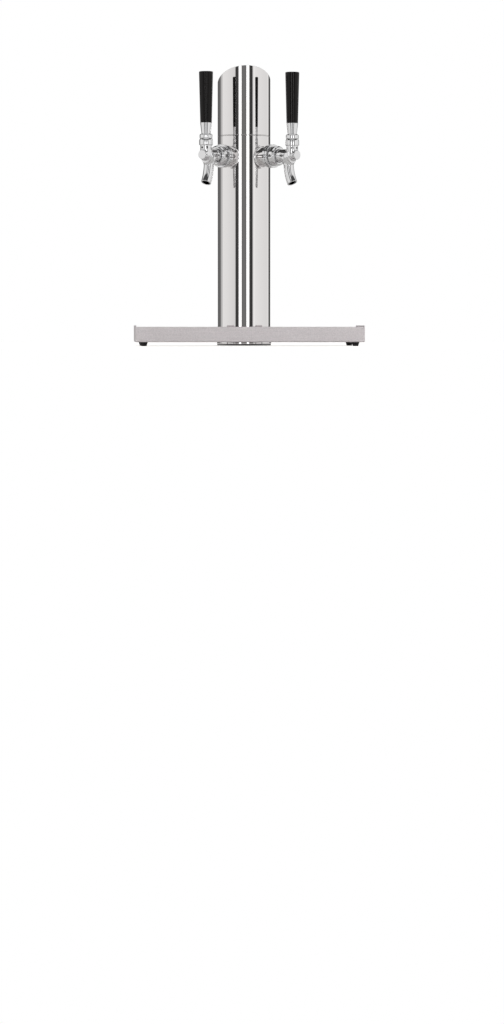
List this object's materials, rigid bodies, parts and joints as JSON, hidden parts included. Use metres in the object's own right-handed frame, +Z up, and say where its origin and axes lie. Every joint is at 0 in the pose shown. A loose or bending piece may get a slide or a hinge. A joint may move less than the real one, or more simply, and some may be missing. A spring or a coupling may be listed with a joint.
{
  "type": "beer tap tower",
  "caption": "Polished column beer tower with a slanted cap, paired rear-closing faucets with black handles, and a low drip tray.",
  "frame": {"origin": "centre of the column's foot on the counter", "axes": "+Z up along the column, -Y towards the drinker, +X to the right seen from the front"},
  "size_m": [0.32, 0.2093, 0.3997],
  "materials": {
    "mirror_steel": "polished",
    "chrome": "mirror plated",
    "satin_steel": "satin",
    "black_gloss": "gloss",
    "rubber": "matte",
    "nylon": "matte",
    "brass": "turned",
    "foam": "closed-cell foam"
  },
  "bodies": {
    "tower": {"base_gasket": "rubber", "foot_ring": "mirror_steel", "column_tube": "mirror_steel", "insulation_sleeve": "foam", "left_tap_stub": "mirror_steel", "left_shank_flange": "chrome", "left_beer_shank": "chrome", "left_saddle_washer": "nylon", "left_lock_nut": "brass", "left_shank_elbow": "satin_steel", "left_coupling_nut": "chrome", "left_coupling_washer": "rubber", "left_faucet_body": "chrome", "left_ball_washer": "nylon", "left_friction_ring": "nylon", "left_bonnet": "chrome", "right_tap_stub": "mirror_steel", "right_shank_flange": "chrome", "right_beer_shank": "chrome", "right_saddle_washer": "nylon", "right_lock_nut": "brass", "right_shank_elbow": "satin_steel", "right_coupling_nut": "chrome", "right_coupling_washer": "rubber", "right_faucet_body": "chrome", "right_ball_washer": "nylon", "right_friction_ring": "nylon", "right_bonnet": "chrome"},
    "left_handle": {"left_lever": "chrome", "left_lever_collar": "chrome", "left_handle_ferrule": "chrome", "left_handle_stud": "brass", "left_handle_grip": "black_gloss"},
    "left_valve": {"left_valve_shaft": "satin_steel", "left_seat_washer": "rubber", "left_shaft_nut": "satin_steel"},
    "right_handle": {"right_lever": "chrome", "right_lever_collar": "chrome", "right_handle_ferrule": "chrome", "right_handle_stud": "brass", "right_handle_grip": "black_gloss"},
    "right_valve": {"right_valve_shaft": "satin_steel", "right_seat_washer": "rubber", "right_shaft_nut": "satin_steel"},
    "cap": {"cap_tube": "mirror_steel", "cap_lid": "mirror_steel", "cap_spigot": "mirror_steel", "cap_seal": "rubber"},
    "tray": {"tray_pan": "satin_steel", "tray_feet": "rubber", "tray_foot_screws": "satin_steel"},
    "grille": {"tray_grille": "satin_steel"}
  },
  "joints": [
    {"name": "left_lever_tilt", "type": "hinge", "parent": "tower", "child": "left_handle", "pos_m": [-0.05774, -0.07607, 0.2875], "axis": [0.7965, -0.6046, 0], "range_deg": [0, 25]},
    {"name": "left_valve_slide", "type": "slide", "parent": "tower", "child": "left_valve", "axis": [0.6046, 0.7965, 0], "range_m": [0, 0.0076]},
    {"name": "right_lever_tilt", "type": "hinge", "parent": "tower", "child": "right_handle", "pos_m": [0.06489, -0.07007, 0.2875], "axis": [0.7337, 0.6794, 0], "range_deg": [0, 25]},
    {"name": "right_valve_slide", "type": "slide", "parent": "tower", "child": "right_valve", "axis": [-0.6794, 0.7337, 0], "range_m": [0, 0.0076]},
    {"name": "cap_lift", "type": "slide", "parent": "tower", "child": "cap", "axis": [0, 0, 1], "range_m": [0, 0.06]},
    {"name": "tray_lift", "type": "slide", "parent": "tower", "child": "tray", "axis": [0, 0, 1], "range_m": [0, 0.05]},
    {"name": "grille_lift", "type": "slide", "parent": "tray", "child": "grille", "axis": [0, 0, 1], "range_m": [0, 0.04]}
  ],
  "couplings": [
    {"joint": "left_valve_slide", "follows": "left_lever_tilt", "m_per_rad": 0.0172},
    {"joint": "right_valve_slide", "follows": "right_lever_tilt", "m_per_rad": 0.0172}
  ]
}
